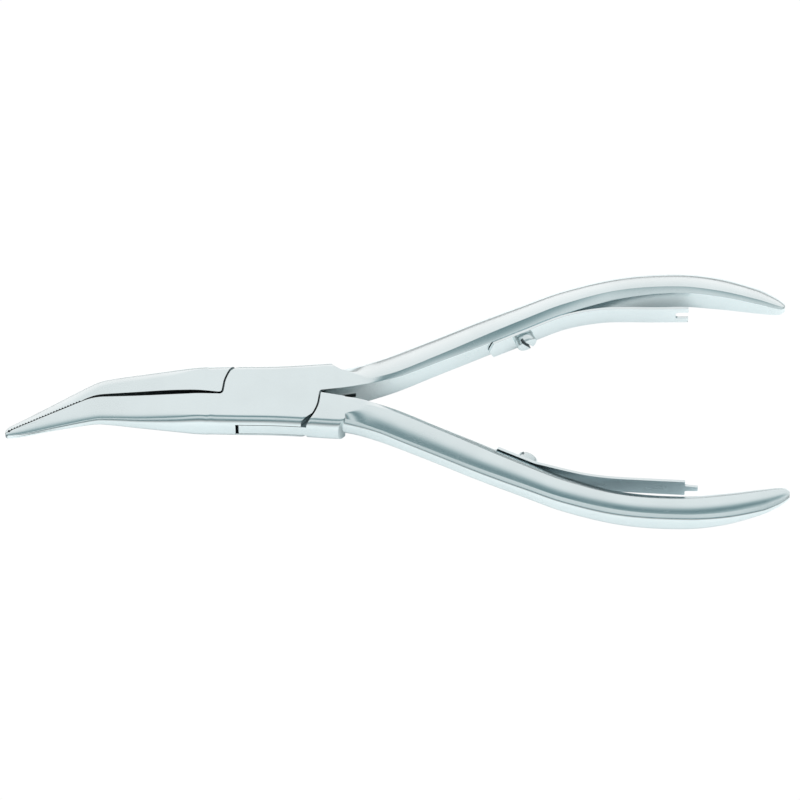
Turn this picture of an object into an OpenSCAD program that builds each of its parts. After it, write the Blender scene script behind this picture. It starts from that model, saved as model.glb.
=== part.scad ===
// Slim bent-nose pliers with a box joint, a flush rivet and two leaf springs.
// The origin is on the pivot axis, on the underside. +X runs to the handles, +Y is the side
// of the box half's handle, +Z is up. All sizes are in millimetres.

/* [Overall] */
// Thickness of the joint and of the thickest part of the handles
thick = 6.6; // [6:0.1:7]
// Where the handles end, measured from the pivot
handle_end = 92.3; // [90:0.1:95]
// Where the jaws end, measured from the pivot
jaw_end = 47.6; // [46:0.1:48]

/* [Jaws] */
// Where the closing line of the jaws starts to bend, from the pivot
bend_start = 30; // [28:0.5:31]
// How far the jaws bend sideways, in degrees
bend_angle = 24.7; // [20:0.1:26]
// Radius of that bend
bend_radius = 9; // [8:1:16]
// Gap between the closed jaws
jaw_gap = 0.1; // [0.06:0.01:0.2]
// Spacing of the cross grooves near the tips
groove_pitch = 0.55; // [0.5:0.05:1]
// Depth of the cross grooves
groove_depth = 0.16; // [0.1:0.01:0.25]
// Number of cross grooves in each jaw
groove_count = 25; // [10:1:25]

/* [Box joint] */
// Radius of the round ends of the two cheeks
cheek_radius = 8.5; // [8:0.1:8.6]
// Gap between a cheek's end and the shoulder beside it
seam_gap = 0.35; // [0.25:0.01:0.5]
// Thickness of the web that passes between the cheeks
web_thick = 2.96; // [2.6:0.02:3.2]
// Running gap above and below the web
web_gap = 0.04; // [0.03:0.01:0.08]
// Radius of the round part of the web
web_radius = 8.25; // [8:0.05:8.3]
// Radius of the slot that the web turns in
slot_radius = 8.7; // [8.6:0.05:8.8]
// Radius of the rivet
pin_radius = 1.9; // [1.5:0.1:2.2]
// Radial running clearance of the rivet in the web
pin_clearance = 0.04; // [0.02:0.01:0.08]

/* [Leaf springs] */
// Width of each leaf
leaf_width = 4.6; // [4:0.1:5]
// Thickness of each leaf
leaf_thick = 0.48; // [0.4:0.02:0.5]
// Width of the notch in the fork end
notch_width = 2; // [1.8:0.1:2.2]
// Depth of the notch in the fork end
notch_depth = 2.4; // [2:0.1:3]
// Width of the tongue end
tongue_width = 1.6; // [1.2:0.1:1.7]
// Length of the tongue end
tongue_length = 2.3; // [2:0.1:3]

/* [Spring screws] */
// Radius of the screw head
head_radius = 1.85; // [1.7:0.05:2]
// Height of the screw head
head_height = 1.65; // [1.4:0.05:1.8]
// Radius of the threaded shank
shank_radius = 1; // [0.8:0.05:1.1]
// Depth of the tapped hole, from the handle's inner face
tap_depth = 3.4; // [3:0.1:3.6]
// Distance from the pivot to the screw, along X
screw_x = 45.1; // [44.5:0.1:45.5]

/* [Hidden] */
$fn = 64;
half_thick = thick / 2;
mid_z = half_thick;
shoulder_radius = cheek_radius + seam_gap;
slot_thick = web_thick + 2 * web_gap;
far = 60;                 // past every outline
over = 0.5;               // how far a cutter runs past what it cuts
leaf_clear = 0.15;        // between a leaf and the handle that it lies on
split_gap = 0.1;          // between a leaf's clamped root and its free blade
ring_step = 2.5;          // spacing of the rings of a lofted solid
groove_start = 0.3;       // from the end of the bend to the first groove
closing_rise = 0.1;       // height of the closing line above the pivot where the bend starts
closing_tilt = 0.0193;    // how far the closing line falls per mm from there to the joint
run_out_end = 15.1;       // where the slot's run-out ends between the handles, along X
run_out_side = 4;         // how far the run-out reaches into the box half's handle
run_out_height = 1.3;
corner_cut = [0.75, 1.9]; // what is cut off a leaf's clamped end: along its length and its width
hole_gap = 0.1;           // radial gap between a screw's shank and its leaf
screw_rim = 0.35;         // radius of the rounded rim of a screw head
head_dome = 0.05;         // rise of the head's middle above its rim
shank_end_gap = 0.3;      // between the end of the shank and the bottom of the hole
screw_slot = [0.5, 0.7];  // width and depth
screw_turn = 60;          // angle of the slot to the leaf, in degrees
closing_dir = [-cos(bend_angle), -sin(bend_angle)];
closing_up = [-sin(bend_angle), cos(bend_angle)];

// Jaws and joint block together: [x, lower outline y, upper outline y, half thickness]
head_stations = [
  [-jaw_end, -7.05, -6.55, 0.6], [-46.6, -7.55, -5.45, 0.9], [-44, -7.22, -3.9, 1.05],
  [-38, -5.85, -0.4, 1.25], [-31.4, -4.55, 3.3, 1.4], [-29, -4.6, 4.0, 1.55],
  [-23.5, -5.1, 4.75, 2.05], [-16.4, -5.6, 5.55, 2.9], [-12.8, -5.75, 5.8, half_thick],
  [-6, -5.9, 5.95, half_thick], [0, -6, 6, half_thick], [5, -6.25, 6.25, half_thick],
  [10.8, -6.68, 6.68, half_thick], [14, -6.82, 6.82, half_thick]];
// Handle: [x, inner face y, outer side y, half thickness at the crown]
handle_stations = [
  [10, 0.75, 5.1, 3.2], [16, 1.45, 6.5, 3.2], [23, 3.55, 9.25, 3.15], [30, 6.7, 12.5, 3.1],
  [37, 9.8, 15.7, 3.1], [45, 13.45, 19.1, 3.1], [52, 16.6, 21.95, 3.15], [62, 19.85, 24.6, 3.25],
  [73, 21.05, 25.5, half_thick], [80.5, 20.4, 24.9, 3], [87.5, 19.15, 23, 2.25],
  [90.3, 18.6, 21.6, 1.7], [91.6, 18.55, 20.7, 1.3], [handle_end, 18.9, 20, 0.8]];
// Free length of each leaf: [x, y of its mid surface]
fork_free = [[54, 16.8], [56.5, 17.35], [60, 17.85], [64, 17.95], [68, 17.9], [74.9, 17.95]];
tongue_free = [[49, 14.5], [52, 15.35], [56, 16.35], [60, 16.95], [64, 17.25], [73.7, 17.8]];
fork_seat = [38.9, 52];   // x where the fork leaf starts and where it leaves the handle
tongue_seat = [39.6, 46.8];

// Smooth curve through rows that start with x: the value in column c at x
function slope(t, i, c) = let (a = max(i - 1, 0), b = min(i + 1, len(t) - 1))
  (t[b][c] - t[a][c]) / (t[b][0] - t[a][0]);
function row_of(x, t, i = 0) = i >= len(t) - 2 || x < t[i + 1][0] ? i : row_of(x, t, i + 1);
function curve(x, t, c) = let (i = row_of(x, t), h = t[i + 1][0] - t[i][0], u = (x - t[i][0]) / h)
  (2 * pow(u, 3) - 3 * pow(u, 2) + 1) * t[i][c] + (pow(u, 3) - 2 * pow(u, 2) + u) * h * slope(t, i, c)
  + (3 * pow(u, 2) - 2 * pow(u, 3)) * t[i + 1][c] + (pow(u, 3) - pow(u, 2)) * h * slope(t, i + 1, c);
function last_x(t) = t[len(t) - 1][0];
// x of each ring, from the first row to the last
function all_xs(t) = let (a = t[0][0], b = last_x(t), n = ceil((b - a) / ring_step))
  [for (i = [0:n]) a + (b - a) * i / n];

// A solid through rings of points, all with the same count
module loft(rings) {
  n = len(rings[0]);
  last = len(rings) - 1;
  polyhedron(
    points = [for (r = rings) each r],
    faces = concat(
      [[for (i = [n - 1:-1:0]) i]], [[for (i = [0:n - 1]) last * n + i]],
      [for (k = [0:last - 1], i = [0:n - 1]) let (j = (i + 1) % n) [k * n + i, k * n + j, (k + 1) * n + i]],
      [for (k = [0:last - 1], i = [0:n - 1]) let (j = (i + 1) % n)
        [k * n + j, (k + 1) * n + j, (k + 1) * n + i]]));
}

// Head section: flat faces joined by rounded corners
function head_ring(x) = let (
    lo = curve(x, head_stations, 1), hi = curve(x, head_stations, 2),
    t = min(half_thick, curve(x, head_stations, 3)),
    a = 0.43 * t * min(1, (hi - lo) / 4), b = 0.7 * t, angles = [0, 35, 65, 90])
  concat(
    [for (q = angles) [x, hi - a + a * sin(q), mid_z + t - b + b * cos(q)]],
    [for (i = [3:-1:0]) [x, hi - a + a * sin(angles[i]), mid_z - t + b - b * cos(angles[i])]],
    [for (q = angles) [x, lo + a - a * sin(q), mid_z - t + b - b * cos(q)]],
    [for (i = [3:-1:0]) [x, lo + a - a * sin(angles[i]), mid_z + t - b + b * cos(angles[i])]]);
module closed_head() loft([for (x = all_xs(head_stations)) head_ring(x)]);

// Handle section: flat inner face, crowned top and bottom, bevelled outer edges
function handle_ring(x) = let (
    yi = curve(x, handle_stations, 1), yo = curve(x, handle_stations, 2),
    t = min(half_thick, curve(x, handle_stations, 3)),
    w = yo - yi, side = [[0, 0.85], [0.12, 0.97], [0.3, 1], [0.55, 0.91], [0.8, 0.7], [1, 0.32]])
  concat(
    [for (p = side) [x, yi + p[0] * w, mid_z + p[1] * t]],
    [for (i = [len(side) - 1:-1:0]) [x, yi + side[i][0] * w, mid_z - side[i][1] * t]]);
module upper_handle() loft([for (x = all_xs(handle_stations)) handle_ring(x)]);

// Gap ground into the upper jaw between the joint and the grooves: [x, depth]
hollow_stations = [[-34.6, 0], [-33.6, 0.1], [-31, 0.38], [-25, 0.64], [-18, 0.78], [-13, 0.6], [-9.3, 0.28]];
hollow_xs = [for (x = [-9.6:-0.9:-29.4]) x];
// Closing line of the jaws, from the joint to past the tips
bend_steps = 6;
closing_bend = [for (i = [0:bend_steps]) let (q = bend_angle * i / bend_steps)
  [-bend_start - bend_radius * sin(q), closing_rise - bend_radius * (1 - cos(q))]];
bend_end = closing_bend[bend_steps];
function straight_y(x) = closing_rise - closing_tilt * (x + bend_start);
// Side is 1 for the jaw above the line and -1 for the one below
function hollow(x, side) = side > 0 ? max(0, curve(x, hollow_stations, 1)) : 0;
function closing_line(side) = concat(
  [[0, side * jaw_gap / 2]],
  [for (x = hollow_xs) [x, straight_y(x) + side * jaw_gap / 2 + hollow(x, side)]],
  [for (p = closing_bend) p + [0, side * jaw_gap / 2 + hollow(p.x, side)]],
  [for (i = [0:groove_count - 1], k = [0, 1])
    bend_end + closing_dir * (groove_start + (i + k / 2) * groove_pitch)
    + closing_up * side * (jaw_gap / 2 + k * groove_depth)],
  [bend_end + closing_dir * 20 + closing_up * side * jaw_gap / 2]);
module jaw_region(side) polygon(concat(closing_line(side), [[-far, side * 20], [0, side * 20]]));

// Plan of the head on the handle side of each half. Its outer corner is cut off towards the handle
module box_root_region()
  polygon([[0, 0], [8.2, 0], [9.2, 0.6], [13.2, 0.95], [13.2, 4.2], [11.5, 5.26], [10.5, 6.9],
    [10.5, 20], [0, 20]]);
module tongue_root_region()
  polygon([[0, 0], [8, 0], [9, -0.05], [13.2, -0.85], [13.2, -5.3], [11.8, -6.9], [11.8, -20], [0, -20]]);
// A corner is cut off each cheek's end where it meets the side
module cheek_corner() polygon([[7.25, -4.4], [5.3, -5.85], [5.3, -8], [9, -8], [9, -4.4]]);

module box_region() {
  difference() {
    circle(cheek_radius);
    cheek_corner();
    rotate(180) cheek_corner();
  }
  jaw_region(-1);
  box_root_region();
}
module tongue_region(radius) difference() {
  union() {
    jaw_region(1);
    tongue_root_region();
  }
  circle(radius);
}
module layer(height) translate([0, 0, mid_z - height / 2]) linear_extrude(height) children();

// Screw axis: at right angles to the handle's inner face
function inner_angle(x) = atan((curve(x + 0.5, handle_stations, 1) - curve(x - 0.5, handle_stations, 1)));
screw_angle = inner_angle(screw_x);
screw_seat = [screw_x, curve(screw_x, handle_stations, 1)];
// Puts a shape on the handle's inner face, with its own +Z pointing at the other handle
module at_screw() translate([screw_seat.x, screw_seat.y, mid_z]) rotate([90, 0, screw_angle]) children();
module tapped_hole() at_screw() translate([0, 0, -tap_depth])
  cylinder(r = shank_radius, h = tap_depth + over);

module box_half() color([0.86, 0.9, 0.91]) difference() {
  union() {
    intersection() {
      closed_head();
      layer(thick + 2) box_region();
    }
    upper_handle();
  }
  layer(slot_thick) circle(slot_radius);
  // Run-out of the slot, seen between the handles
  layer(run_out_height) square([run_out_end, run_out_side]);
  translate([0, 0, -1]) cylinder(r = pin_radius, h = thick + 2);
  tapped_hole();
}

module tongue_half() color([0.84, 0.88, 0.89]) difference() {
  union() {
    intersection() {
      closed_head();
      union() {
        layer(thick + 2) tongue_region(shoulder_radius);
        layer(web_thick) {
          circle(web_radius);
          tongue_region(web_radius - 1);
        }
      }
    }
    mirror([0, 1, 0]) upper_handle();
  }
  translate([0, 0, -1]) cylinder(r = pin_radius + pin_clearance, h = thick + 2);
  mirror([0, 1, 0]) tapped_hole();
}

module joint_pin() color([0.8, 0.84, 0.85]) cylinder(r = pin_radius, h = thick);

// Mid surface of a leaf's seated length, just clear of the handle's inner face
function seat_line(a, b, steps) = [for (i = [0:steps]) let (
    x = a + (b - a) * i / steps, q = inner_angle(x), d = leaf_thick / 2 + leaf_clear)
  [x + d * sin(q), curve(x, handle_stations, 1) - d * cos(q)]];
function free_line(start, free, steps) = let (t = concat([start], free)) [for (i = [0:steps]) let (
    x = t[0][0] + (last_x(t) - t[0][0]) * i / steps) [x, curve(x, t, 1)]];
function unit_normal(line, i) = let (d = line[min(i + 1, len(line) - 1)] - line[max(i - 1, 0)])
  [-d.y, d.x] / norm(d);
module strip(line, width) layer(width) polygon(concat(
  [for (i = [0:len(line) - 1]) line[i] + unit_normal(line, i) * leaf_thick / 2],
  [for (i = [len(line) - 1:-1:0]) line[i] - unit_normal(line, i) * leaf_thick / 2]));
function last(line) = line[len(line) - 1];

module screw_hole() at_screw() cylinder(r = shank_radius + hole_gap, h = 2);
// The corners of a leaf's clamped end are cut off
module root_corners(x) for (s = [-1, 1]) translate([x, far / 2, mid_z + s * leaf_width / 2])
  rotate([90, 0, 0]) linear_extrude(far)
    polygon([[-over, s * over], [corner_cut[0], s * over], [corner_cut[0], 0], [0, -s * corner_cut[1]],
      [-over, -s * corner_cut[1]]]);

fork_seat_line = seat_line(fork_seat[0], fork_seat[1], 12);
fork_line = free_line(last(fork_seat_line), fork_free, 20);
tongue_seat_line = seat_line(tongue_seat[0], tongue_seat[1], 8);
tongue_line = free_line(last(tongue_seat_line), tongue_free, 20);
// The blade starts a small gap after the root
function after_gap(line) = concat([line[0] + (line[1] - line[0]) * split_gap / norm(line[1] - line[0])],
  [for (i = [1:len(line) - 1]) line[i]]);

module leaf_root(line) difference() {
  strip(line, leaf_width);
  screw_hole();
  root_corners(line[0].x - 0.1);
}
module fork_leaf_root() color([0.8, 0.83, 0.85]) leaf_root(fork_seat_line);
module tongue_leaf_root() color([0.8, 0.83, 0.85]) mirror([0, 1, 0]) leaf_root(tongue_seat_line);

module fork_leaf_blade() color([0.8, 0.83, 0.85]) difference() {
  strip(after_gap(fork_line), leaf_width);
  translate([last(fork_line).x - notch_depth, 0, mid_z - notch_width / 2]) cube([far, 40, notch_width]);
}
module tongue_leaf_blade() color([0.8, 0.83, 0.85]) mirror([0, 1, 0]) {
  end = last(tongue_line);
  strip(after_gap(tongue_line), leaf_width);
  dir = (end - tongue_line[len(tongue_line) - 2]) / norm(end - tongue_line[len(tongue_line) - 2]);
  strip([end - dir, end + dir * tongue_length], tongue_width);
}

module screw() at_screw() difference() {
  seat = leaf_thick + leaf_clear;
  top = leaf_thick + head_height;
  rotate_extrude() polygon(concat(
    [[0, -tap_depth + shank_end_gap], [shank_radius, -tap_depth + shank_end_gap], [shank_radius, seat],
     [head_radius, seat]],
    [for (q = [0:15:90]) [head_radius - screw_rim, top - screw_rim] + screw_rim * [cos(q), sin(q)]],
    [[0, top + head_dome]]));
  translate([0, 0, top]) rotate([0, 0, -screw_turn])
    cube([4 * head_radius, screw_slot[0], 2 * screw_slot[1]], center = true);
}
module fork_screw() color([0.75, 0.79, 0.8]) screw();
module tongue_screw() color([0.75, 0.79, 0.8]) mirror([0, 1, 0]) screw();

box_half();
tongue_half();
joint_pin();
fork_leaf_root();
fork_leaf_blade();
tongue_leaf_root();
tongue_leaf_blade();
fork_screw();
tongue_screw();
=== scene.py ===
# %% [markdown]
# # Bent-nose pliers with a box joint
#
# These slim pliers are two steel forgings. One is split like a box: two cheeks leave a slot, and the
# web of the other passes through it, so the jaws stay in line. A rivet, ground flush, is the axle.
# Each handle carries a leaf spring under a slotted screw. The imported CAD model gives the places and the
# sizes, so the first cell loads it, and each later piece is made round the CAD nodes that it stands for.

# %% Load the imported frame
import math
import bmesh
import bpy
from mathutils import Matrix, Vector


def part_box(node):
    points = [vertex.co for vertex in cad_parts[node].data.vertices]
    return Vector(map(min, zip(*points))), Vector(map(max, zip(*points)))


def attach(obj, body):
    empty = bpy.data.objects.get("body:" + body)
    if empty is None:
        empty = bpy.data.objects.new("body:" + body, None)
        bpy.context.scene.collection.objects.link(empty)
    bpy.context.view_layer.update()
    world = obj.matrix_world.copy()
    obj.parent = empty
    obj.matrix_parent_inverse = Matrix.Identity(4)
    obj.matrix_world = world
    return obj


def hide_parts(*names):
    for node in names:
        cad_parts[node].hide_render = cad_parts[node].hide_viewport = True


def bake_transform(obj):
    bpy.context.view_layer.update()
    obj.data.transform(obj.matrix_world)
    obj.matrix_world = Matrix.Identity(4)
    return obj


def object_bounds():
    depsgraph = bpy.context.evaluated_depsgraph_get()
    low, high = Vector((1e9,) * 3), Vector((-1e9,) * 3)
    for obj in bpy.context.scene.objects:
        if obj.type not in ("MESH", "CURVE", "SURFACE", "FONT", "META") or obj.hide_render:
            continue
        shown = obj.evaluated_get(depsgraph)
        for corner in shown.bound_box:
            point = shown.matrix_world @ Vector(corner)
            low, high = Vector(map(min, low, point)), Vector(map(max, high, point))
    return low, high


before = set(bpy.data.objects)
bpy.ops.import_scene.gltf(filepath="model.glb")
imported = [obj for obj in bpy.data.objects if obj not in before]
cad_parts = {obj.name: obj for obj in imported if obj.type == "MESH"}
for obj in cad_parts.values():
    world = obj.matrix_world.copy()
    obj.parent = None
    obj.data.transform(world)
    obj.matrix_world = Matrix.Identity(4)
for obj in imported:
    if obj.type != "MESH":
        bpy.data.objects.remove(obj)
cad_low, cad_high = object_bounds()
MM = 0.001
THICK = (cad_high.z - cad_low.z) / MM
HALF = THICK / 2
MID = cad_low.z / MM + HALF
pin_low, pin_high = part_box("joint_pin")
PIN_RADIUS = (pin_high.x - pin_low.x) / 2 / MM
print("thickness", round(THICK, 2), "mm, rivet radius", round(PIN_RADIUS, 2), "mm")

# %% [markdown]
# ## The camera, the floor and the light
#
# A product picture of polished steel is mostly a picture of what the steel reflects. The camera is far
# away with a long lens, so that nearly parallel lines stay parallel. The floor and the sky are white, but
# for two dark bands that give the steel its drawing: one high in front, where the camera stands, and one
# low in front, at the horizon. A lamp would also light the steel, but lamps leave hot spots on curved
# metal, and a wide white dome doesn't. To the camera the paper is clean white. In the steel it is paper lit
# by the dome, with the tool's own shade on it and a painted glow on top. The glow is painted out as shade
# where pieces stand close, and the paper is painted darker towards grazing angles, so that gaps, undersides
# and the horizon stay dark.

# %% Camera
VIEW_ELEVATION = math.radians(60)
LENS = 400
SENSOR = 36
FRAME_WIDTH = 143.2
CLIP_END = 10  # metres
TARGET = Vector((23.0, 0.2, MID))
camera_direction = Vector((0, -math.cos(VIEW_ELEVATION), math.sin(VIEW_ELEVATION)))
camera_data = bpy.data.cameras.new("camera")
camera_data.lens = LENS
camera_data.sensor_width = SENSOR
camera = bpy.data.objects.new("camera", camera_data)
camera_distance = FRAME_WIDTH * LENS / SENSOR
camera.location = (TARGET + camera_direction * camera_distance) * MM
camera.rotation_mode = "QUATERNION"
camera.rotation_quaternion = (-camera_direction).to_track_quat("-Z", "Y")
camera_data.clip_end = CLIP_END
bpy.context.scene.collection.objects.link(camera)
bpy.context.scene.camera = camera
bpy.context.scene.view_settings.view_transform = "Standard"
print("camera", round(camera_distance), "mm away")

# %% Node helpers
def add_node(tree, kind, **values):
    """Adds a node. Values named after an input set that input, other values set a property."""
    made = tree.nodes.new(kind)
    for name, value in values.items():
        socket = made.inputs.get(name.replace("_", " ").title()) or made.inputs.get(name)
        if socket is not None:
            socket.default_value = value
        else:
            setattr(made, name, value)
    return made


def math_node(tree, operation, *inputs):
    """A Math node: each input is a number or a socket to link."""
    made = tree.nodes.new("ShaderNodeMath")
    made.operation = operation
    for slot, value in enumerate(inputs):
        if isinstance(value, (int, float)):
            made.inputs[slot].default_value = value
        else:
            tree.links.new(value, made.inputs[slot])
    return made.outputs[0]


def ramp(tree, value, low, high, out_low, out_high):
    """A smooth step from out_low at low to out_high at high."""
    made = tree.nodes.new("ShaderNodeMapRange")
    made.interpolation_type = "SMOOTHSTEP"
    tree.links.new(value, made.inputs["Value"])
    made.inputs["From Min"].default_value = low
    made.inputs["From Max"].default_value = high
    made.inputs["To Min"].default_value = out_low
    made.inputs["To Max"].default_value = out_high
    return made.outputs["Result"]


# %% Sky
# The sky changes only from front to back. Each row is an angle from overhead in degrees, positive towards
# the back, and a level.
SKY = [(-180, 0.9), (-100, 0.85), (-90, 0.25), (-80, 0.3), (-68, 0.82), (-58, 0.86), (-48, 0.8), (-39, 0.38),
       (-30, 0.24), (-20, 0.42), (-8, 0.85), (4, 0.96), (30, 0.96), (50, 1.05), (76, 1.12), (96, 1.1),
       (110, 0.95), (180, 0.9)]
SIDE_LEVEL = 0.9


def build_sky():
    world = bpy.data.worlds.new("studio")
    bpy.context.scene.world = world
    world.use_nodes = True
    tree = world.node_tree
    split = tree.nodes.new("ShaderNodeSeparateXYZ")
    tree.links.new(tree.nodes.new("ShaderNodeTexCoord").outputs["Generated"], split.inputs[0])
    turn = math_node(tree, "ARCTAN2", split.outputs["Y"], split.outputs["Z"])
    level = tree.nodes.new("ShaderNodeValToRGB")
    tree.links.new(math_node(tree, "MULTIPLY_ADD", turn, 0.5 / math.pi, 0.5), level.inputs["Fac"])
    stops = level.color_ramp.elements
    for angle, value in SKY:
        ends = {-180: stops[0], 180: stops[len(stops) - 1]}
        stop = ends[angle] if angle in ends else stops.new(angle / 360 + 0.5)
        stop.color = (value, value, value, 1)
    sides = ramp(tree, math_node(tree, "ABSOLUTE", split.outputs["X"]), 0.6, 0.95, 0.0, 0.8)
    front_part = math_node(tree, "MULTIPLY", level.outputs["Color"], math_node(tree, "SUBTRACT", 1.0, sides))
    even = math_node(tree, "ADD", front_part, math_node(tree, "MULTIPLY", sides, SIDE_LEVEL))
    colour = tree.nodes.new("ShaderNodeCombineColor")
    for channel, power in {"Red": 1.4, "Green": 1.06, "Blue": 1.0}.items():
        tree.links.new(math_node(tree, "POWER", even, power), colour.inputs[channel])
    background = tree.nodes["Background"]
    tree.links.new(colour.outputs["Color"], background.inputs["Color"])
    background.inputs["Strength"].default_value = 1.0


build_sky()

# %% Floor
FLOOR_HALF = 3  # metres
FLOOR_DROP = 0.0001
SHADE_REACH = 0.012
PAPER_LEVEL = 1.02


def build_floor():
    bm = bmesh.new()
    bmesh.ops.create_grid(bm, x_segments=1, y_segments=1, size=FLOOR_HALF)
    bmesh.ops.translate(bm, verts=bm.verts, vec=(0, 0, cad_low.z - FLOOR_DROP))
    mesh = bpy.data.meshes.new("floor")
    bm.to_mesh(mesh)
    bm.free()
    floor = bpy.data.objects.new("floor", mesh)
    bpy.context.scene.collection.objects.link(floor)
    material = bpy.data.materials.new("white_paper")
    material.use_nodes = True
    tree = material.node_tree
    shader = tree.nodes["Principled BSDF"]
    shader.inputs["Roughness"].default_value = 1
    shader.inputs["Specular IOR Level"].default_value = 0
    facing = tree.nodes.new("ShaderNodeLayerWeight").outputs["Facing"]
    # Painted shade: the paper's colour and glow are painted darker towards grazing angles, which paints the
    # dark band low at the horizon in the steel
    shade = ramp(tree, facing, 0.45, 1.0, 1.0, 0.25)
    tree.links.new(shade, shader.inputs["Base Color"])
    tree.links.new(shade, shader.inputs["Emission Color"])
    # Painted light and painted shade: the paper glows as if lit, and the glow is painted out where two pieces
    # stand close together and the paper sees little sky
    near = tree.nodes.new("ShaderNodeAmbientOcclusion")
    near.inputs["Distance"].default_value = SHADE_REACH
    painted_glow = ramp(tree, near.outputs["AO"], 0.38, 0.55, 0.0, 0.42)
    tree.links.new(painted_glow, shader.inputs["Emission Strength"])
    paper = tree.nodes.new("ShaderNodeEmission")
    paper.inputs["Color"].default_value = (1, 1, 1, 1)
    paper.inputs["Strength"].default_value = PAPER_LEVEL
    clean = tree.nodes.new("ShaderNodeMixShader")
    tree.links.new(tree.nodes.new("ShaderNodeLightPath").outputs["Is Camera Ray"], clean.inputs["Fac"])
    tree.links.new(shader.outputs["BSDF"], clean.inputs[1])
    tree.links.new(paper.outputs["Emission"], clean.inputs[2])
    tree.links.new(clean.outputs["Shader"], tree.nodes["Material Output"].inputs["Surface"])
    mesh.materials.append(material)


build_floor()

# %% [markdown]
# ## Steel finishes
#
# The forgings are stainless steel, ground along their length and then polished. A mirror would be too
# clean, so three layers of detail lie under the polish: soft unevenness a few millimetres across, which
# bends reflections; fine grinding lines, which run along the tool; and faint cloudiness in the roughness.
# All three are small bumps or small changes, because polished steel shows them only where a reflection
# edge crosses them. The working faces inside the joint and between the jaws are never polished. They are
# ground, so they get a finish of their own, and its colour is painted nearly black as shade, so that the
# gaps stay dark. So do the backs of the leaf springs, which are rougher and painted darker as shade.

# %% Steel material
def steel(name, colour, roughness, line_scale, line_depth, wave_depth):
    material = bpy.data.materials.new(name)
    material.use_nodes = True
    tree = material.node_tree
    shader = tree.nodes["Principled BSDF"]
    shader.inputs["Metallic"].default_value = 1
    where = tree.nodes.new("ShaderNodeTexCoord").outputs["Object"]
    stretch = tree.nodes.new("ShaderNodeMapping")
    stretch.inputs["Scale"].default_value = line_scale
    tree.links.new(where, stretch.inputs["Vector"])
    lines = add_node(tree, "ShaderNodeTexNoise", scale=1.0, detail=3.0, roughness=0.6)
    tree.links.new(stretch.outputs["Vector"], lines.inputs["Vector"])
    waves = add_node(tree, "ShaderNodeTexNoise", scale=160.0, detail=2.0)
    tree.links.new(where, waves.inputs["Vector"])
    cloud = add_node(tree, "ShaderNodeTexNoise", scale=90.0, detail=4.0)
    tree.links.new(where, cloud.inputs["Vector"])
    rough = ramp(tree, cloud.outputs["Fac"], 0.3, 0.7, roughness * 0.85, roughness * 1.2)
    rough = math_node(tree, "ADD", rough, ramp(tree, lines.outputs["Fac"], 0.35, 0.75, 0.0, roughness * 0.25))
    tree.links.new(rough, shader.inputs["Roughness"])
    tint = tree.nodes.new("ShaderNodeMix")
    tint.data_type = "RGBA"
    tint.inputs["A"].default_value = (*colour, 1)
    tint.inputs["B"].default_value = (*[c * 0.95 for c in colour], 1)
    tree.links.new(ramp(tree, cloud.outputs["Fac"], 0.35, 0.75, 0.0, 1.0), tint.inputs["Factor"])
    tree.links.new(tint.outputs["Result"], shader.inputs["Base Color"])
    fine = add_node(tree, "ShaderNodeBump", strength=1.0, distance=line_depth)
    tree.links.new(lines.outputs["Fac"], fine.inputs["Height"])
    broad = add_node(tree, "ShaderNodeBump", strength=1.0, distance=wave_depth)
    tree.links.new(waves.outputs["Fac"], broad.inputs["Height"])
    tree.links.new(fine.outputs["Normal"], broad.inputs["Normal"])
    tree.links.new(broad.outputs["Normal"], shader.inputs["Normal"])
    return material


POLISHED = steel("polished_steel", (0.75, 0.82, 0.83), 0.2, (600, 9000, 9000), 0.0000006, 0.000006)
SPRING = steel("spring_steel", (0.77, 0.83, 0.84), 0.17, (900, 9000, 9000), 0.0000005, 0.000004)
TURNED = steel("screw_steel", (0.68, 0.75, 0.76), 0.24, (5000, 5000, 5000), 0.0000006, 0.000003)
# Painted shade: a near-black steel for the working faces and slots, standing in for the shade in the gaps
GROUND_PAINTED_SHADE = steel("ground_steel_painted_shade", (0.16, 0.2, 0.21), 0.3, (4000, 4000, 9000), 0.000001, 0.000003)
# Painted shade: the leaf backs are darker, so the handles' inner faces behind the leaves reflect dark
LEAF_BACK_PAINTED_SHADE = steel("leaf_back_painted_shade", (0.48, 0.61, 0.65), 0.28, (900, 5000, 5000), 0.0000008, 0.000004)
print("materials", [m.name for m in (POLISHED, SPRING, TURNED, GROUND_PAINTED_SHADE, LEAF_BACK_PAINTED_SHADE)])

# %% [markdown]
# ## Tools for the forgings
#
# A forging's outside is one long smooth skin, so it is lofted: a flat grid is rolled into a tube whose
# rings are the cross sections. The sections come from a few stations along the tool, with a smooth curve
# between them. Then the flat cuts of the real tool are made the way the toolmaker makes them, by cutting
# the skin with simple shapes: the seams of the joint, the slot, the closing line with its grooves. Modelling
# each cut by hand in the skin would give the same shape with much more work, and it would be easy to dent
# the skin near a seam.

# %% Smooth curve through stations
def curve(stations, column):
    """A function of x: a smooth curve through column of the rows, which start with x."""
    def slope(i):
        before, after = stations[max(i - 1, 0)], stations[min(i + 1, len(stations) - 1)]
        return (after[column] - before[column]) / (after[0] - before[0])

    def value(x):
        i = 0
        while i < len(stations) - 2 and x >= stations[i + 1][0]:
            i += 1
        step = stations[i + 1][0] - stations[i][0]
        u = min(max((x - stations[i][0]) / step, 0), 1)
        a, b = stations[i][column], stations[i + 1][column]
        return ((2 * u**3 - 3 * u**2 + 1) * a + (u**3 - 2 * u**2 + u) * step * slope(i)
                + (3 * u**2 - 2 * u**3) * b + (u**3 - u**2) * step * slope(i + 1))
    return value


# %% Loft
def make_object(name, bm):
    """Turns a bmesh in millimetres into an object in metres."""
    bmesh.ops.scale(bm, vec=(MM, MM, MM), verts=bm.verts)
    mesh = bpy.data.meshes.new(name)
    bm.to_mesh(mesh)
    bm.free()
    made = bpy.data.objects.new(name, mesh)
    bpy.context.scene.collection.objects.link(made)
    return made


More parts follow.
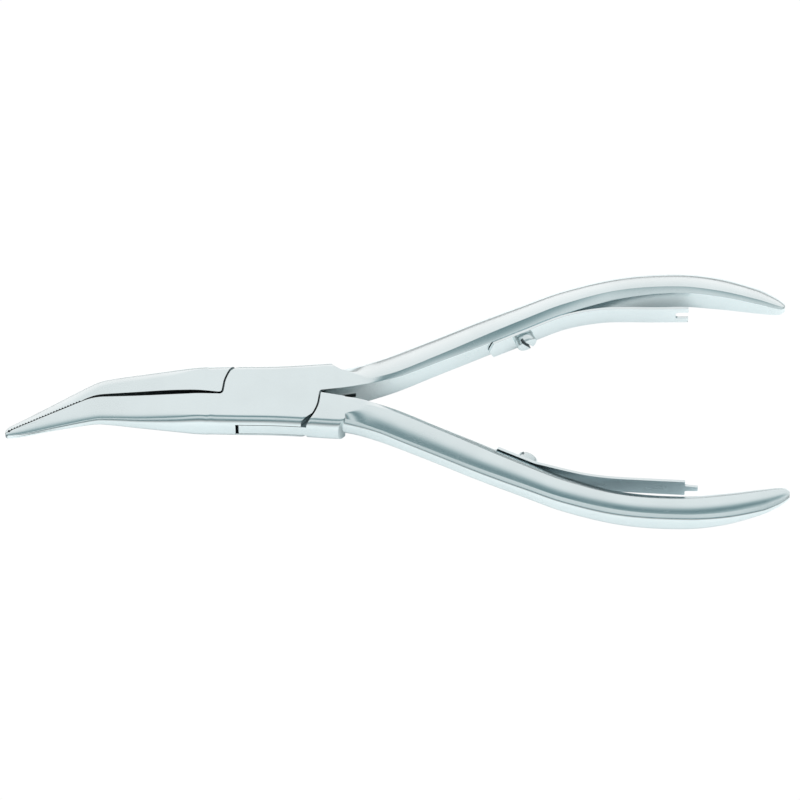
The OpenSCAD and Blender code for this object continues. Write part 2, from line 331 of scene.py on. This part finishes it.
def loft(name, places, section):
    """A grid rolled into a tube: ring i is section(places[i]), a list of (x, y, z)."""
    rings = [section(place) for place in places]
    around = len(rings[0])
    along = len(rings) - 1
    bm = bmesh.new()
    bmesh.ops.create_grid(bm, x_segments=along, y_segments=around, size=1)
    for vert in bm.verts:
        i = round((vert.co.x + 1) / 2 * along)
        j = round((vert.co.y + 1) / 2 * around) % around
        vert.co = rings[i][j]
    bmesh.ops.remove_doubles(bm, verts=bm.verts, dist=1e-6)
    bmesh.ops.holes_fill(bm, edges=[e for e in bm.edges if e.is_boundary], sides=0)
    bmesh.ops.recalc_face_normals(bm, faces=bm.faces)
    return make_object(name, bm)


# %% Plates cut out of an outline
def plate(name, outline, low, high):
    """A straight prism: a plan outline pulled up from z low to z high, both from the mid plane."""
    bm = bmesh.new()
    verts = [bm.verts.new((x, y, MID + low)) for x, y in outline]
    face = bm.faces.new(verts)
    grown = bmesh.ops.extrude_face_region(bm, geom=[face])["geom"]
    top = [v for v in grown if isinstance(v, bmesh.types.BMVert)]
    bmesh.ops.translate(bm, verts=top, vec=(0, 0, high - low))
    bmesh.ops.recalc_face_normals(bm, faces=bm.faces)
    return make_object(name, bm)


def arc(radius, start, end, steps, centre=(0, 0)):
    """Points on a circle, from start to end in degrees."""
    angles = [math.radians(start + (end - start) * i / steps) for i in range(steps + 1)]
    return [(centre[0] + radius * math.cos(a), centre[1] + radius * math.sin(a)) for a in angles]


def circle(radius, count, centre=(0, 0)):
    """Points on a whole circle."""
    return arc(radius, 0, 360 - 360 / count, count - 1, centre)


def round_corner(before, corner, after, radius, steps=6):
    """Replaces one corner of an outline by an arc that touches both sides."""
    c = Vector(corner)
    d1 = (Vector(before) - c).normalized()
    d2 = (Vector(after) - c).normalized()
    half = d1.angle(d2) / 2
    reach = radius / math.tan(half)
    middle = c + (d1 + d2).normalized() * (radius / math.sin(half))
    first, last = c + d1 * reach - middle, c + d2 * reach - middle
    return [tuple(middle + first.lerp(last, i / steps).normalized() * radius) for i in range(steps + 1)]


# %% Boolean cuts
def combine(body, tool, operation):
    """Applies one boolean to body's mesh and removes the tool."""
    modifier = body.modifiers.new("cut", "BOOLEAN")
    modifier.operation = operation
    modifier.solver = "MANIFOLD"
    modifier.object = tool
    depsgraph = bpy.context.evaluated_depsgraph_get()
    result = bpy.data.meshes.new_from_object(body.evaluated_get(depsgraph))
    body.modifiers.clear()
    old = body.data
    body.data = result
    bpy.data.meshes.remove(old)
    bpy.data.objects.remove(tool)
    return body


def cut(body, tool):
    return combine(body, tool, "DIFFERENCE")


def keep_inside(body, tool):
    return combine(body, tool, "INTERSECT")


def join(body, tool):
    return combine(body, tool, "UNION")


def copy_of(source, name):
    made = source.copy()
    made.data = source.data.copy()
    made.name = name
    bpy.context.scene.collection.objects.link(made)
    return made


# %% [markdown]
# ## The closed head
#
# With the jaws shut, both jaws and the joint block were ground together, so their outside is one skin. It
# is lofted once, whole, and then shared out between the two halves by cuts. The section is flat on top and
# below, and its corners are quarter ellipses, taller than wide, which gives the barrelled sides. Along the
# jaws the flat also eases over a little before each corner, so the jaws look softer than the joint block.

# %% Head skin
JAW_END = -cad_low.x / MM - 0.1
HEAD_END = 14.5
TIP_START = -46.5
HEAD = [  # x, lower outline, upper outline, half thickness
    (-JAW_END, -7.05, -6.7, 0.5), (-47.3, -7.4, -6.2, 0.65), (-46.5, -7.5, -5.5, 0.85),
    (-44, -7.22, -3.95, 1.0), (-38, -5.85, -0.4, 1.2), (-31.4, -4.55, 3.3, 1.4), (-29, -4.6, 4.0, 1.55),
    (-23.5, -5.1, 4.75, 2.05), (-16.4, -5.6, 5.55, 2.9), (-12.8, -5.75, 5.8, HALF), (-6, -5.9, 5.95, HALF),
    (0, -6.0, 6.0, HALF), (5, -6.25, 6.25, HALF), (10.8, -6.68, 6.68, HALF), (HEAD_END, -6.8, 6.8, HALF)]
head_low, head_high, head_half = (curve(HEAD, column) for column in (1, 2, 3))
# How far in from each corner the flat begins to ease over
EASE = curve([(-JAW_END, 1.6), (-44, 1.8), (-36, 1.7), (-30, 1.2), (-18, 1.0), (-11, 0.0),
              (HEAD_END, 0.0)], 1)
EASE_END = math.radians(26)
CORNER_STEPS = 10
CORNER_ACROSS, CORNER_DOWN = 0.43, 0.7  # shares of the half thickness


def head_section(x):
    low, high = head_low(x), head_high(x)
    half = min(HALF, head_half(x))
    # Where the tips get narrow, so do the corners
    narrow = min(1, (high - low) / 4)
    across = CORNER_ACROSS * half * narrow
    # Near the tips the corners reach further down the sides
    down = (CORNER_DOWN if x > -36 else min(0.85, CORNER_DOWN - (x + 36) * 0.02)) * half
    # Along the jaws the flat first eases over towards the corner, then turns down
    ease = max(EASE(x), 0) * narrow
    start = math.atan(across / down * math.tan(EASE_END)) if ease > 0.01 else 0
    drop = math.tan(EASE_END) * ease / 2
    ease_to, turn_from = across * (1 - math.sin(start)), drop + down * math.cos(start)
    corner = [(ease_to + ease * (1 - s), drop * s * s) for s in (0, 0.25, 0.5, 0.75)]
    turns = [start + (math.pi / 2 - start) * i / CORNER_STEPS for i in range(CORNER_STEPS + 1)]
    corner += [(across * (1 - math.sin(q)), turn_from - down * math.cos(q)) for q in turns]
    right = [(x, high - a, MID + half - d) for a, d in corner]
    right += [(x, high - a, MID - half + d) for a, d in reversed(corner)]
    left = [(x, low + a, MID - half + d) for a, d in corner]
    left += [(x, low + a, MID + half - d) for a, d in reversed(corner)]
    return right + left


def spaced(start, end, step):
    """Even steps from start to end, none of them longer than step."""
    count = math.ceil(abs((end - start) / step))
    return [start + (end - start) * i / count for i in range(count + 1)]


head_places = spaced(-JAW_END, TIP_START, 0.2) + spaced(TIP_START, HEAD_END, 0.75)[1:]
head = loft("head", head_places, head_section)
print("head skin", len(head.data.polygons), "faces")

# %% [markdown]
# ## The handles
#
# Each handle is an S-shaped bar. Its section is flat on the inside, where the spring lies. From there an
# inner bevel rises steeply, eases over and meets the crown in a crease. The crown falls a little towards
# the outside and meets the outer bevel in a crisp edge. Two rings of points close together hold the crease
# and the edge. Beside the joint the crown is cut off flat, level with the joint block, and the flat ends
# in a scallop.

# %% Handle skin
HANDLE_END = cad_high.x / MM
HANDLE = [  # x, inner face, outer side, half thickness at the crown
    (10, 0.75, 5.1, HALF), (13, 0.9, 5.75, HALF), (16, 1.45, 6.5, HALF), (19.5, 2.4, 7.7, HALF),
    (23, 3.55, 9.25, 3.18), (30, 6.7, 12.45, 3.1), (37, 9.8, 15.7, 3.1), (45, 13.45, 19.1, 3.1),
    (52, 16.6, 21.95, 3.15), (62, 19.8, 24.6, 3.25), (73, 21.0, 25.45, 3.25), (80.5, 20.35, 24.85, 2.95),
    (87.5, 19.1, 22.95, 2.2), (90.3, 18.55, 21.55, 1.65), (91.6, 18.5, 20.65, 1.25),
    (HANDLE_END, 18.9, 20.0, 0.75)]
SHAPE = [  # x, heel height, crown place, crisp edge height, fall of the crown, crisp edge place
    (10, 1.0, 0.79, 0.72, 1.3, 0.83), (12.6, 1.0, 0.78, 0.72, 1.3, 0.83), (14.2, 1.0, 0.6, 0.69, 1.3, 0.84),
    (16, 1.0, 0.37, 0.66, 1.4, 0.86), (17.2, 0.96, 0.2, 0.64, 1.6, 0.88), (19.5, 0.88, 0.16, 0.61, 2.0, 0.9),
    (23, 0.8, 0.16, 0.6, 2.2, 0.9), (32, 0.73, 0.2, 0.62, 2.3, 0.89), (41, 0.65, 0.27, 0.67, 2.3, 0.87),
    (52, 0.62, 0.29, 0.73, 2.3, 0.85), (60, 0.64, 0.27, 0.75, 2.4, 0.83), (66, 0.69, 0.25, 0.76, 2.4, 0.83),
    (75, 0.76, 0.2, 0.74, 2.5, 0.83), (84, 0.76, 0.18, 0.66, 2.5, 0.83),
    (HANDLE_END, 0.72, 0.17, 0.55, 2.5, 0.83)]
inner, outer, crown = (curve(HANDLE, column) for column in (1, 2, 3))
heel, crown_at, edge_height, fall, edge_at = (curve(SHAPE, column) for column in (1, 2, 3, 4, 5))
SIDE_HEIGHT = 0.22
HOLD = 0.008  # a ring this share of the width away holds a crisp edge
TURN_FROM = 0.58  # where along the outer bevel the turn into the side begins


def handle_profile(x):
    """Half the section: share of the width against share of the half thickness, from inside to outside."""
    h, c, e, power, at = min(heel(x), 1), crown_at(x), edge_height(x), fall(x), edge_at(x)
    c = min(c, at - 3 * HOLD)
    # The inner bevel rises steeply from the flat inside, eases over and ends in a crease
    foot, bend, crease = Vector((0, h)), Vector((0.45 * c, h + 0.53 * (1 - h))), Vector((c, 1))
    points = [(0, 0.4 * h), (0, h - 0.05)]
    points += [tuple(foot.lerp(bend, t).lerp(bend.lerp(crease, t), t))
               for t in (0.02, 0.2, 0.4, 0.6, 0.8, 0.97, 1)]
    shares = [HOLD * 2] + [i / 10 for i in range(1, 10)] + [1 - HOLD * 2, 1]
    points += [(c + (at - c) * s, 1 - (1 - e) * s**power) for s in shares]
    # Beyond the crisp edge the bevel falls as far as it goes out, then turns down into the side
    fall_to = e - (1 - at) * (outer(x) - inner(x)) / min(HALF, crown(x))
    edge, corner = Vector((at, e)), Vector((1, fall_to))
    points += [tuple(edge.lerp(corner, s)) for s in (0.04, 0.3, TURN_FROM)]
    near, end = edge.lerp(corner, TURN_FROM), Vector((1, min(SIDE_HEIGHT, fall_to - 0.1)))
    points += [tuple(near.lerp(corner, t).lerp(corner.lerp(end, t), t)) for t in (0.2, 0.4, 0.6, 0.8, 1)]
    return points + [(1, 0.05)]


def handle_section(x):
    low, width, half = inner(x), outer(x) - inner(x), min(HALF, crown(x))
    side = [(x, low + u * width, w * half) for u, w in handle_profile(x)]
    return [(x, y, MID + z) for x, y, z in side] + [(x, y, MID - z) for x, y, z in reversed(side)]


def handle_skin():
    places = spaced(11, 20, 0.3) + spaced(20, 86, 1.0)[1:] + spaced(86, HANDLE_END, 0.25)[1:]
    return loft("handle", places, handle_section)


def mirrored(piece):
    """The same piece on the other side of the tool."""
    piece.data.transform(Matrix.Diagonal((1, -1, 1, 1)))
    piece.data.flip_normals()
    return piece


upper_handle = handle_skin()
lower_handle = mirrored(handle_skin())
print("handle skin", len(upper_handle.data.polygons), "faces")

# %% [markdown]
# ## Sharing out the head
#
# In plan the seam of a box joint is made of arcs about the pivot, so that the shoulders of one half can
# turn round the cheeks of the other. The cheeks end on a smaller radius than the shoulders, and the
# difference shows as a dark line. The jaws part on the closing line, which is straight from the joint
# outwards, slightly tilted, and then bends down to the tips.

# %% Closing line
BEND_START = 30
BEND = math.radians(24.7)
BEND_RADIUS = 9
CLOSING_RISE, CLOSING_TILT = 0.1, 0.0193
JAW_GAP = 0.1
GROOVE_PITCH = 0.55
GROOVE_DEPTH = 0.16
UPPER_GROOVE_DEPTH = 0.28
GROOVES = 26
GROOVE_START = 0.3
GROOVE_HALF = 0.85  # the lower jaw's grooves stop short of its top and bottom
along_jaw = Vector((-math.cos(BEND), -math.sin(BEND)))
off_jaw = Vector((-math.sin(BEND), math.cos(BEND)))
bend_end = Vector((-BEND_START - BEND_RADIUS * math.sin(BEND),
                   CLOSING_RISE - BEND_RADIUS * (1 - math.cos(BEND))))


def closing_y(x):
    """Where the closing line is at x: straight, then a bend, then straight again."""
    if x > -BEND_START:
        return CLOSING_RISE - CLOSING_TILT * (x + BEND_START)
    if x > bend_end.x:
        return CLOSING_RISE + math.sqrt(BEND_RADIUS**2 - (x + BEND_START)**2) - BEND_RADIUS
    return bend_end.y + (x - bend_end.x) * math.tan(BEND)


def teeth(side, depth):
    """Grooves across a closing face, from the bend to the tips."""
    base = bend_end + off_jaw * side * JAW_GAP / 2
    return [tuple(base + along_jaw * (GROOVE_START + i / 2 * GROOVE_PITCH) + off_jaw * side * depth * (i % 2))
            for i in range(GROOVES * 2 + 1)]


# The upper jaw is ground hollow between the joint and the teeth, so that only the tips touch
HOLLOW = curve([(-34.6, 0), (-33.6, 0.1), (-31, 0.38), (-25, 0.64), (-18, 0.78), (-13, 0.6), (-9.3, 0.28)], 1)
PAST_TIP = tuple(bend_end + along_jaw * 20)
upper_line = [(x, closing_y(x) + JAW_GAP / 2 + max(HOLLOW(x), 0)) for x in spaced(-9.6, -33.7, -0.6)]
upper_line += teeth(1, UPPER_GROOVE_DEPTH) + [PAST_TIP]
lower_line = [(x, closing_y(x) - JAW_GAP / 2) for x in spaced(-9.6, -35, -0.6)] + [PAST_TIP]
lower_corner_y = closing_y(-8.5) - JAW_GAP / 2
print("closing line has", len(upper_line), "points")

# %% Seams
CHEEK = 8.5
SHOULDER = 8.85
CORNER = 0.5
PAST = 9.0  # outside the head's skin
CROTCH = 13.2


def box_outline():
    """The box half in plan: lower jaw, cheeks and the upper handle's root, clockwise from the crotch."""
    outline = [(CROTCH, 0.95)] + round_corner((CROTCH, 0.95), (8.6, 0.4), (8.45, -1.5), CORNER)
    outline += arc(CHEEK, -14, -31, 6) + [(5.3, -5.85), (5.3, -PAST), (-60, -PAST - 8)]
    outline += list(reversed(lower_line))
    outline += round_corner((-12, lower_corner_y), (-CHEEK - 0.02, lower_corner_y), (-CHEEK + 0.05, 1.5),
                            CORNER + 0.3)
    outline += arc(CHEEK, 166, 149, 6) + [(-5.3, 5.85), (-5.3, PAST), (10.5, PAST), (10.5, 6.9)]
    return outline + [(10.9, 5.75), (11.5, 5.26), (12.9, 4.4), (CROTCH, 4.2)]


def upper_jaw_outline():
    """The tongue half's jaw in plan, with the shoulder that turns round the cheeks."""
    outline = list(reversed(upper_line))
    outline += round_corner((-12, JAW_GAP / 2), (-SHOULDER - 0.02, JAW_GAP / 2), (-SHOULDER + 0.05, 1.5),
                            CORNER)
    return outline + arc(SHOULDER, 166, 135, 10) + [(-5.8, PAST), (-60, PAST)]


def lower_root_outline():
    """The root of the lower handle in plan, with the other shoulder."""
    outline = [(CROTCH, -0.85), (CROTCH, -5.3), (12.6, -6.0), (11.8, -6.9), (11.8, -PAST), (6.0, -PAST)]
    outline += arc(SHOULDER, -45, -14, 10)
    return outline + round_corner((SHOULDER - 0.1, -1.5), (SHOULDER + 0.02, -0.05), (CROTCH, -0.85), 0.15, 3)


# The web runs in the slot with a gap that can be seen, and the rivet in the web's bore with a smaller one
WEB, WEB_HALF = 8.25, 1.42
SLOT, SLOT_HALF = 8.7, 1.56
BORE_CLEAR = 0.04
RUN_OUT_HALF = 0.65
reach = HALF + 1
web_sides = [[(-9.8, JAW_GAP / 2), (-5, JAW_GAP / 2), (-5, PAST), (-9.8, PAST)],
             [(9.8, -0.4), (5, 0), (5, -PAST), (9.8, -PAST)]]

box_half = keep_inside(copy_of(head, "box_half"), plate("plan", box_outline(), -reach, reach))
lower_teeth = teeth(-1, GROOVE_DEPTH) + [tuple(Vector(PAST_TIP) + off_jaw)]
box_half = cut(box_half, plate("grooves", lower_teeth, -GROOVE_HALF, GROOVE_HALF))
box_half = join(box_half, upper_handle)
box_half = cut(box_half, plate("slot", circle(SLOT, 144), -SLOT_HALF, SLOT_HALF))
run_out = [(6, 0), (15.1, 0), (15.1, 3.2), (6, 3.2)]
box_half = cut(box_half, plate("run_out", run_out, -RUN_OUT_HALF, RUN_OUT_HALF))
box_half = cut(box_half, plate("bore", circle(PIN_RADIUS, 128), -reach, reach))

tongue_half = head
tongue_half.name = "tongue_half"
shares = join(plate("upper_jaw", upper_jaw_outline(), -reach, reach),
              plate("root", lower_root_outline(), -reach, reach))
shares = join(shares, plate("web", circle(WEB, 144), -WEB_HALF, WEB_HALF))
for side in web_sides:
    shares = join(shares, plate("web_side", side, -WEB_HALF, WEB_HALF))
tongue_half = keep_inside(tongue_half, shares)
tongue_half = join(tongue_half, lower_handle)
tongue_half = cut(tongue_half, plate("bore", circle(PIN_RADIUS + BORE_CLEAR, 128), -reach, reach))

# %% Tapped holes for the spring screws
SHANK = 1.0
TAP_DEPTH = 3.4
SCREW_X = 45.1


def face_angle(x):
    """The slope of the upper handle's inner face in plan."""
    return math.atan(inner(x + 0.5) - inner(x - 0.5))


def at_screw(bm, side):
    """Moves a shape built along Z onto a handle's inner face, pointing at the other handle."""
    angle = face_angle(SCREW_X)
    across = Vector((math.cos(angle), math.sin(angle), 0))
    out = Vector((math.sin(angle), -math.cos(angle), 0))
    onto_face = Matrix((across, (0, 0, 1), out)).transposed().to_4x4()
    onto_face.translation = (SCREW_X, inner(SCREW_X), MID)
    bmesh.ops.transform(bm, matrix=onto_face, verts=bm.verts)
    if side < 0:
        bmesh.ops.scale(bm, vec=(1, -1, 1), verts=bm.verts)
        bmesh.ops.reverse_faces(bm, faces=bm.faces)


def round_bar(name, radius, low, high, side):
    bm = bmesh.new()
    bmesh.ops.create_cone(bm, cap_ends=True, segments=48, radius1=radius, radius2=radius, depth=high - low)
    bmesh.ops.translate(bm, verts=bm.verts, vec=(0, 0, (low + high) / 2))
    at_screw(bm, side)
    return make_object(name, bm)


box_half = cut(box_half, round_bar("tapped_hole", SHANK, -TAP_DEPTH, 1, 1))
tongue_half = cut(tongue_half, round_bar("tapped_hole", SHANK, -TAP_DEPTH, 1, -1))
for piece in (box_half, tongue_half):
    print(piece.name, len(piece.data.polygons), "faces")

# %% [markdown]
# ## Worn edges
#
# No real edge is perfectly sharp. After the cuts, a bevel of a few hundredths of a millimetre goes along
# every cut edge. It catches the light as a thin line, which is what makes the seams look machined. Weighted
# normals then keep the large flats flat right up to those bevels.

# %% Edge finish
SHARP = math.radians(38)  # edges turning more than this stay sharp in the shading
BEVELLED = math.radians(32)  # edges turning more than this get a bevel
BEVEL_SEGMENTS = 2
FORGING_BEVEL = 0.06
SCREW_BEVEL = 0.05


def applied(piece, kind, **settings):
    """Adds a modifier, applies it, and returns the piece."""
    modifier = piece.modifiers.new(kind.lower(), kind)
    for name, value in settings.items():
        setattr(modifier, name, value)
    depsgraph = bpy.context.evaluated_depsgraph_get()
    result = bpy.data.meshes.new_from_object(piece.evaluated_get(depsgraph), depsgraph=depsgraph)
    piece.modifiers.clear()
    piece.data = result
    return piece


def finish_edges(piece, width):
    """Bevels every cut edge and keeps the flats flat in the shading."""
    for polygon in piece.data.polygons:
        polygon.use_smooth = True
    applied(piece, "BEVEL", width=width * MM, segments=BEVEL_SEGMENTS, limit_method="ANGLE",
            angle_limit=BEVELLED)
    piece.data.set_sharp_from_angle(angle=SHARP)
    applied(piece, "WEIGHTED_NORMAL", keep_sharp=True, weight=60)


def place(piece, body, nodes, material):
    """Puts a finished piece in the frame in place of CAD nodes. One without a body stays unattached."""
    piece.data.materials.clear()  # a cut leaves an empty slot behind
    piece.data.materials.append(material)
    if body is not None:
        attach(piece, body)
    for node in nodes:
        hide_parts(node)


JOINT_REACH = 9.3
BLOCK_INSIDE = 4.9  # the joint's outer walls are further out than this


def is_shaded_working_face(centre, normal):
    """True for the faces inside the joint and for the closing faces of the jaws, which get the painted shade.
    """
    x, y, z = centre.x / MM, centre.y / MM, abs(centre.z / MM - MID)
    radius = math.hypot(x, y)
    if radius < JOINT_REACH:
        in_slot = z < SLOT_HALF + 0.1
        on_seam = radius > 8 and abs(normal.x * x + normal.y * y) / radius > 0.9
        return z < HALF - 0.12 and abs(y) < BLOCK_INSIDE and (in_slot or on_seam)
    between_jaws = x < 0 and abs(normal.z) < 0.5 and -0.6 < y - closing_y(x) < 1.1
    return between_jaws and z < max(head_half(x), 0.6) - 0.1


for piece, node in ((box_half, "box_half"), (tongue_half, "tongue_half")):
    finish_edges(piece, FORGING_BEVEL)
    place(piece, node, [node], POLISHED)
    # Painted shade: the working faces get the near-black steel, which stands in for the shade in the gaps
    piece.data.materials.append(GROUND_PAINTED_SHADE)
    for polygon in piece.data.polygons:
        polygon.material_index = int(is_shaded_working_face(polygon.center, polygon.normal))
    print(piece.name, sum(p.material_index for p in piece.data.polygons), "ground faces")

# %% [markdown]
# ## The rivet
#
# The rivet is peened into both cheeks and ground flush, so on a good tool it can't be seen. It is a plain
# round bar with the cheeks' own finish. Its end faces are level with the joint's flats.

# %% Rivet
def build_rivet():
    bm = bmesh.new()
    bmesh.ops.create_cone(bm, cap_ends=True, segments=128, radius1=PIN_RADIUS, radius2=PIN_RADIUS,
                          depth=THICK)
    bmesh.ops.translate(bm, verts=bm.verts, vec=(0, 0, MID))
    rivet = make_object("rivet", bm)
    rivet.data.set_sharp_from_angle(angle=SHARP)
    return rivet


place(build_rivet(), "box_half", ["joint_pin"], POLISHED)

# %% [markdown]
# ## The leaf springs
#
# A leaf is punched out of spring steel strip, its corners are cut off, and it is bent over a former. The
# model follows the same order. The flat blank is drawn with its hole and its end, pulled up to its
# thickness and bevelled. Then it is sliced across and laid along the bent line. One leaf ends in a fork and
# the other in a tongue that can hook into that fork. The leaves are not hooked together here. Their faces
# are polished, and their backs, towards the handles, are rougher and painted darker as shade.

# %% Leaf lines
LEAF_WIDTH = 4.6
LEAF_THICK = 0.48
LEAF_CLEAR = 0.15
LEAF_BEVEL = 0.19
SLICE = 0.6
# Each leaf lies along its handle over the seat, a range of x, and then runs free through these points
FORK_SEAT = (38.9, 52)
FORK_FREE = [(54, 16.8), (56.5, 17.35), (60, 17.85), (64, 17.95), (68, 17.9), (74.9, 17.95)]
TONGUE_SEAT = (39.6, 46.8)
TONGUE_FREE = [(49, 14.5), (52, 15.35), (56, 16.35), (60, 16.95), (64, 17.25), (73.7, 17.8)]


def leaf_line(seat, free):
    """Points of the leaf's mid surface: along the handle's inner face first, then free."""
    off = LEAF_THICK / 2 + LEAF_CLEAR
    line = [Vector((x + off * math.sin(face_angle(x)), inner(x) - off * math.cos(face_angle(x))))
            for x in spaced(seat[0], seat[1], 0.5)]
    rows = [tuple(line[-1])] + free
    bent = curve(rows, 1)
    return line + [Vector((x, bent(x))) for x in spaced(rows[0][0], rows[-1][0], 0.5)[1:]]


def walk(line, distance):
    """The point at a distance along a line, and the direction there. It runs straight on past the ends."""
    i = 0
    while i < len(line) - 2 and distance > (line[i + 1] - line[i]).length:
        distance -= (line[i + 1] - line[i]).length
        i += 1
    start = line[i] - line[i - 1] if i else line[1] - line[0]
    step = line[i + 1] - line[i]
    follow = line[i + 2] - line[i + 1] if i + 2 < len(line) else step
    share = min(max(distance / step.length, 0), 1)
    before, after = start.normalized() + step.normalized(), step.normalized() + follow.normalized()
    return line[i] + step.normalized() * distance, before.lerp(after, share).normalized()


# %% Leaf blanks
CORNER_CUT = (0.75, 1.9)
NOTCH_WIDTH, NOTCH_DEPTH, NOTCH_ROUND = 2.1, 2.3, 0.55
TONGUE_WIDTH, TONGUE_LENGTH, TONGUE_ROUND = 1.6, 2.3, 0.3
HOLE_CLEAR = 0.1


def fork_end(length):
    """The end of the flat blank with the notch, from its lower corner to its upper one."""
    half, inside = NOTCH_WIDTH / 2, length - NOTCH_DEPTH
    low = round_corner((length, -half), (inside, -half), (inside, half), NOTCH_ROUND)
    high = round_corner((inside, -half), (inside, half), (length, half), NOTCH_ROUND)
    start, end = (length, -LEAF_WIDTH / 2), (length, LEAF_WIDTH / 2)
    return [start, (length, -half)] + low + high + [(length, half), end]


def tongue_end(length):
    """The end of the flat blank with the tongue, which narrows a little to its tip."""
    half, tip = TONGUE_WIDTH / 2, length + TONGUE_LENGTH
    start, end = (length, -LEAF_WIDTH / 2), (length, LEAF_WIDTH / 2)
    low = round_corner((length, -2), (length, -half), (tip, -half), TONGUE_ROUND, 3)
    high = round_corner((tip, half), (length, half), (length, 2), TONGUE_ROUND, 3)
    return [start] + low + [(tip, -half * 0.8), (tip, half * 0.8)] + high + [end]


def build_leaf(name, seat, free, end, side):
    """A flat blank, punched and bevelled, then laid along its line. side is 1 for the upper handle."""
    line = leaf_line(seat, free)
    length = sum((b - a).length for a, b in zip(line, line[1:]))
    half = LEAF_WIDTH / 2
    cut_x, cut_y = CORNER_CUT
    outline = [(0, half - cut_y), (0, cut_y - half), (cut_x, -half)] + end(length) + [(cut_x, half)]
    leaf = plate(name, outline, -LEAF_THICK / 2, LEAF_THICK / 2)
    to_screw = sum((b - a).length for a, b in zip(line, line[1:]) if b.x <= SCREW_X)
    leaf = cut(leaf, plate("hole", circle(SHANK + HOLE_CLEAR, 48, (to_screw, 0)), -1, 1))
    applied(leaf, "BEVEL", width=LEAF_BEVEL * MM, segments=4, limit_method="ANGLE",
            angle_limit=math.radians(50))
    bm = bmesh.new()
    bm.from_mesh(leaf.data)
    for s in spaced(SLICE, length + TONGUE_LENGTH, SLICE):
        everything = bm.verts[:] + bm.edges[:] + bm.faces[:]
        bmesh.ops.bisect_plane(bm, geom=everything, plane_co=(s * MM, 0, 0), plane_no=(1, 0, 0),
                               dist=1e-7)
    for vert in bm.verts:
        along, across, up = vert.co.x / MM, vert.co.y / MM, vert.co.z / MM - MID
        point, direction = walk(line, along)
        normal = Vector((-direction.y, direction.x))
        moved = point + normal * up
        vert.co = Vector((moved.x, side * moved.y, MID - side * across)) * MM
    for face in bm.faces:
        face.smooth = True
    bmesh.ops.recalc_face_normals(bm, faces=bm.faces)
    bm.to_mesh(leaf.data)
    bm.free()
    leaf.data.set_sharp_from_angle(angle=SHARP)
    applied(leaf, "WEIGHTED_NORMAL", keep_sharp=True, weight=60)
    print(name, round(length, 1), "mm long")
    return leaf


fork_leaf = build_leaf("fork_leaf", FORK_SEAT, FORK_FREE, fork_end, 1)
tongue_leaf = build_leaf("tongue_leaf", TONGUE_SEAT, TONGUE_FREE, tongue_end, -1)
place(fork_leaf, None, ["fork_leaf_root", "fork_leaf_blade"], SPRING)
place(tongue_leaf, None, ["tongue_leaf_root", "tongue_leaf_blade"], SPRING)
# Painted shade: the backs face the handles and get a darker colour, so the gap behind each leaf stays dark
for leaf, back in ((fork_leaf, 1), (tongue_leaf, -1)):
    leaf.data.materials.append(LEAF_BACK_PAINTED_SHADE)
    for polygon in leaf.data.polygons:
        polygon.material_index = int(polygon.normal.y * back > 0.8)
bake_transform(fork_leaf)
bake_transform(tongue_leaf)

# %% [markdown]
# ## The spring screws
#
# Each leaf is held by a small cheese-head screw. The head is turned, with a rounded rim and a slightly
# domed top, so its profile is spun round the screw's axis. Then the slot is sawn straight across. Its
# walls aren't polished, so they get the finish of the working faces, whose near-black colour is painted
# shade.

# %% Screws
HEAD_RADIUS = 1.85
HEAD_HEIGHT = 1.65
HEAD_RIM = 0.42
CHAMFER = 0.2
SAW_WIDTH, SAW_DEPTH = 0.55, 0.8
SLOT_TURN = math.radians(60)


def build_screw(name, body, node, side):
    """Spins the profile, saws the slot and sets the screw in its leaf. side is 1 for the upper handle."""
    seat, top = LEAF_THICK + LEAF_CLEAR, LEAF_THICK + HEAD_HEIGHT
    end = 0.3 - TAP_DEPTH
    rim = [(HEAD_RADIUS - HEAD_RIM + HEAD_RIM * math.cos(q), top - HEAD_RIM + HEAD_RIM * math.sin(q))
           for q in (math.pi / 2 * i / 6 for i in range(7))]
    profile = [(0, end), (SHANK - CHAMFER, end), (SHANK, end + CHAMFER), (SHANK, seat),
               (HEAD_RADIUS - 0.12, seat), (HEAD_RADIUS, seat + 0.12)]
    profile += rim + [(0.7, top + 0.04), (0, top + 0.05)]
    bm = bmesh.new()
    verts = [bm.verts.new((r, 0, z)) for r, z in profile]
    edges = [bm.edges.new(pair) for pair in zip(verts, verts[1:])]
    bmesh.ops.spin(bm, geom=verts + edges, cent=(0, 0, 0), axis=(0, 0, 1), angle=2 * math.pi, steps=64,
                   use_merge=True)
    bmesh.ops.remove_doubles(bm, verts=bm.verts, dist=1e-5)
    bmesh.ops.recalc_face_normals(bm, faces=bm.faces)
    screw = make_object(name, bm)
    half, floor = SAW_WIDTH / 2, top - SAW_DEPTH
    slot = plate("saw", [(-4, -half), (4, -half), (4, half), (-4, half)], floor - MID, top + 1 - MID)
    slot.data.transform(Matrix.Rotation(-SLOT_TURN, 4, "Z"))
    cut(screw, slot)
    finish_edges(screw, SCREW_BEVEL)
    place(screw, body, [node], TURNED)
    # Painted shade: the slot's faces get the near-black steel, so the slot looks dark
    screw.data.materials.append(GROUND_PAINTED_SHADE)
    across = Vector((math.sin(SLOT_TURN), math.cos(SLOT_TURN), 0)) / MM
    for polygon in screw.data.polygons:
        in_slot = abs(polygon.center.dot(across)) < half + 0.03 and polygon.center.z / MM > floor - 0.05
        polygon.material_index = int(in_slot)
    bm = bmesh.new()
    bm.from_mesh(screw.data)
    bmesh.ops.scale(bm, vec=(1 / MM,) * 3, verts=bm.verts)
    at_screw(bm, side)
    bmesh.ops.scale(bm, vec=(MM,) * 3, verts=bm.verts)
    bm.to_mesh(screw.data)
    bm.free()
    screw.data.set_sharp_from_angle(angle=SHARP)
    return screw


build_screw("fork_screw_visual", "box_half", "fork_screw", 1)
build_screw("tongue_screw_visual", "tongue_half", "tongue_screw", -1)
